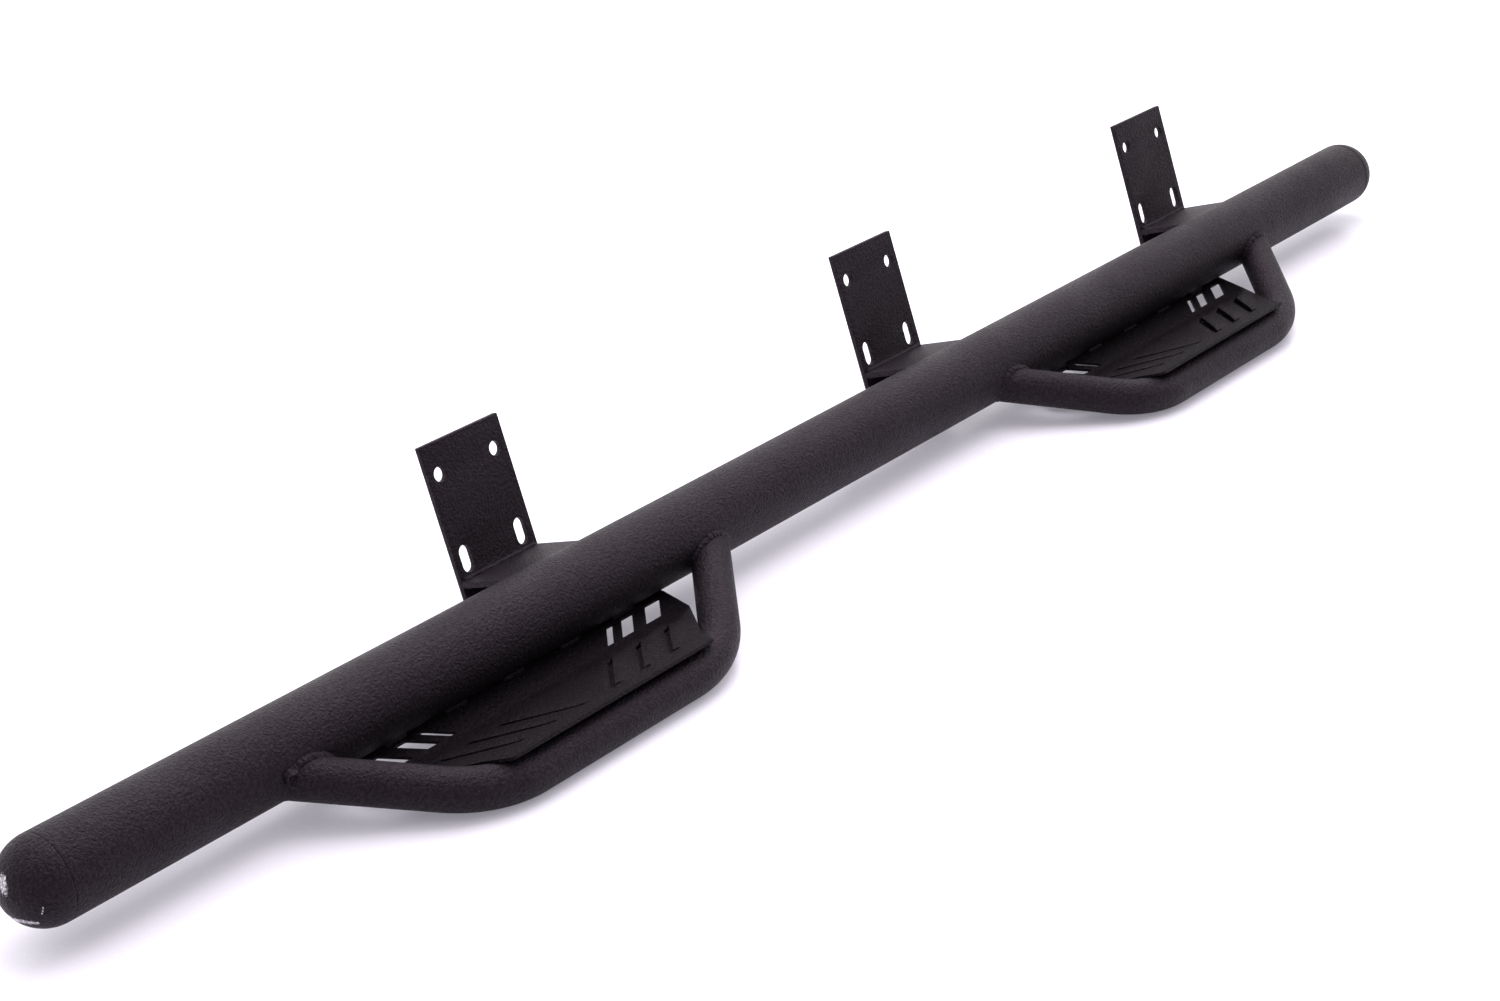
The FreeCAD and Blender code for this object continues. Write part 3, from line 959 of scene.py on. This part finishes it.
def make_plug(material):
    """Sunken weld crater with a raised, uneven rim, beside the left leg's bead."""
    # radius and height of each ring in millimetres, from the bottom of the crater out over its rim
    rings = [(2.6, 0.9), (4.0, 1.5), (4.8, 3.0), (5.5, 4.1), (6.3, 4.5),
             (7.1, 4.0), (7.7, 2.9), (8.2, 1.1), (8.5, -2.5)]
    count = 64
    lo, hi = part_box("vent_plug_weld")
    spot = Vector(((lo[0] + hi[0]) / 2, (lo[1] + hi[1]) / 2 + 0.8 * MM, (lo[2] + hi[2]) / 2 - 3.6 * MM))
    outward = Vector((0, spot.y - AXIS_Y, spot.z - AXIS_Z)).normalized()
    foot = AXIS + X_AXIS * spot.x + outward * (TUBE_R + 1.2 * MM)
    normal = (outward - X_AXIS * 0.25).normalized()
    east = (X_AXIS - normal * normal.x).normalized()
    north = normal.cross(east)
    verts = [foot + normal * 0.7 * MM]
    for r, h in rings:
        for i in range(count):
            t = 2 * math.pi * i / count
            wave = 1 + 0.07 * math.sin(3 * t + 0.8) + 0.04 * math.sin(7 * t + r)
            lift = h * MM * (1 + 0.10 * math.sin(5 * t + 2 * r) * (1 if h > 2 else 0.3))
            out = (east * math.cos(t) * 0.85 + north * math.sin(t)) * r * MM * wave
            verts.append(foot + out + normal * lift)
    verts.append(foot - normal * 4 * MM)
    last = len(verts) - 1
    faces = []
    for i in range(count):
        j = (i + 1) % count
        faces.append((0, 1 + i, 1 + j))
        for k in range(len(rings) - 1):
            a = 1 + k * count
            faces.append((a + i, a + count + i, a + count + j, a + j))
        a = 1 + (len(rings) - 1) * count
        faces.append((a + i, last, a + j))
    name = "vent_plug_crater"
    piece(name, mesh_of(name, verts, faces), "vent_plug_weld", material, 60.0)


# ---------------------------------------------------------------- studio

def make_camera():
    data = bpy.data.cameras.new("camera")
    data.lens = CAMERA_LENS
    data.sensor_width = 36.0
    data.clip_start = 0.05
    data.clip_end = 50.0
    cam = bpy.data.objects.new("camera", data)
    bpy.context.scene.collection.objects.link(cam)
    right = CAMERA_WAY.cross(FLOOR_UP).normalized()
    up = right.cross(CAMERA_WAY).normalized()
    turn = Matrix((right, up, -CAMERA_WAY)).transposed()
    cam.matrix_world = Matrix.Translation(CAMERA_AT) @ turn.to_4x4()
    bpy.context.scene.camera = cam


def make_floor():
    """Pale sheet under the lowest points of the hoops and bracket plates."""
    nx, ny = 40, 24
    level = min(FLOOR_UP.dot(v.co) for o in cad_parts.values() for v in o.data.vertices)
    deep = FLOOR_UP.cross(X_AXIS).normalized()
    middle = Vector(((CAD_BOX[0][0] + CAD_BOX[1][0]) / 2, AXIS_Y, AXIS_Z))
    middle -= FLOOR_UP * (FLOOR_UP.dot(middle) - level)
    verts, faces = [], []
    for j in range(ny + 1):
        for i in range(nx + 1):
            a = FLOOR_LEFT + FLOOR_WIDTH * i / nx
            b = FLOOR_FRONT + FLOOR_DEPTH * j / ny
            verts.append(middle + X_AXIS * a + deep * b)
    for j in range(ny):
        for i in range(nx):
            k = j * (nx + 1) + i
            faces.append((k, k + 1, k + nx + 2, k + nx + 1))
    mesh = bpy.data.meshes.new("paper")
    mesh.from_pydata([tuple(v) for v in verts], [], faces)
    obj = bpy.data.objects.new("paper", mesh)
    mesh.materials.append(floor_material())
    bpy.context.scene.collection.objects.link(obj)


def make_light():
    """Large soft box overhead, turned towards the middle of the board."""
    at, target = Vector((0.45, -0.5, 2.5)), Vector((0.1, -0.25, -0.2))
    data = bpy.data.lights.new("overhead", "AREA")
    data.shape = "RECTANGLE"
    data.size = 3.8
    data.size_y = 1.8
    data.energy = 88.0
    data.color = (1.0, 0.975, 1.02)
    obj = bpy.data.objects.new("overhead", data)
    bpy.context.scene.collection.objects.link(obj)
    obj.location = at
    obj.rotation_euler = (target - at).to_track_quat("-Z", "Y").to_euler()


def make_world():
    """Surround that is bright above and behind the object and dimmer behind the camera."""
    world = bpy.data.worlds.new("studio")
    bpy.context.scene.world = world
    world.use_nodes = True
    tree = world.node_tree
    tree.nodes.clear()
    out = tree.nodes.new("ShaderNodeOutputWorld")
    back = tree.nodes.new("ShaderNodeBackground")
    place = tree.nodes.new("ShaderNodeTexCoord")
    dot = tree.nodes.new("ShaderNodeVectorMath")
    dot.operation = "DOT_PRODUCT"
    dot.inputs[1].default_value = Vector((0.46, 0.42, 0.80)).normalized()
    span = tree.nodes.new("ShaderNodeMapRange")
    span.interpolation_type = "SMOOTHSTEP"
    ends = (("From Min", -0.40), ("From Max", 0.50), ("To Min", 0.46), ("To Max", 1.65))
    for key, number in ends:
        span.inputs[key].default_value = number
    tree.links.new(place.outputs["Generated"], dot.inputs[0])
    tree.links.new(dot.outputs["Value"], span.inputs["Value"])
    tree.links.new(span.outputs["Result"], back.inputs["Strength"])
    back.inputs["Color"].default_value = (1.0, 0.992, 1.0, 1.0)
    tree.links.new(back.outputs[0], out.inputs[0])


def make_studio():
    make_camera()
    make_world()
    make_floor()
    make_light()
    view = bpy.context.scene.view_settings
    view.view_transform = "Standard"
    view.look = "None"
    view.exposure = 0.0
    view.gamma = 1.0


def main():
    make_studio()
    materials = {
        "tube": powder_coat("coat_tube", COAT),
        "cap": powder_coat("coat_cap", COAT, chips=CHIPS),
        "far_cap": powder_coat("coat_far_cap", COAT),
        # the sheet's darker tint is painted shade
        "sheet": powder_coat("coat_sheet_painted_shade", SHEET_COAT_WITH_PAINTED_SHADE, grain=1.5, orange=0.9, rough=0.45, gloss=0.09),
        "plate": powder_coat("coat_plate", PLATE_COAT, grain=0.9, orange=0.8, rough=0.55),
        "weld": powder_coat("coat_weld", WELD_COAT, grain=0.8, dust=1.4),
    }
    make_tube(materials["tube"])
    make_cap("left_end_cap", TUBE_LO[0], -1, materials["cap"])
    make_cap("right_end_cap", TUBE_HI[0], 1, materials["far_cap"])
    for side in ("left", "right"):
        lo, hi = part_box(side + "_step_hoop")
        centre = (lo[0] + hi[0]) / 2
        make_hoop(side, centre, materials["tube"])
        make_step_plate(side, centre, materials["sheet"])
        make_step_welds(side, centre, materials["weld"])
        for end in (-1, 1):
            make_leg_weld(side, centre, end, materials["weld"])
    for side in ("left", "middle", "right"):
        make_bolt_plate(side, materials["plate"])
        make_arm_plate(side, materials["plate"])
        make_web_plate(side, materials["plate"])
        make_arm_welds(side, materials["weld"])
    make_plug(materials["weld"])

    bpy.context.view_layer.update()


main()
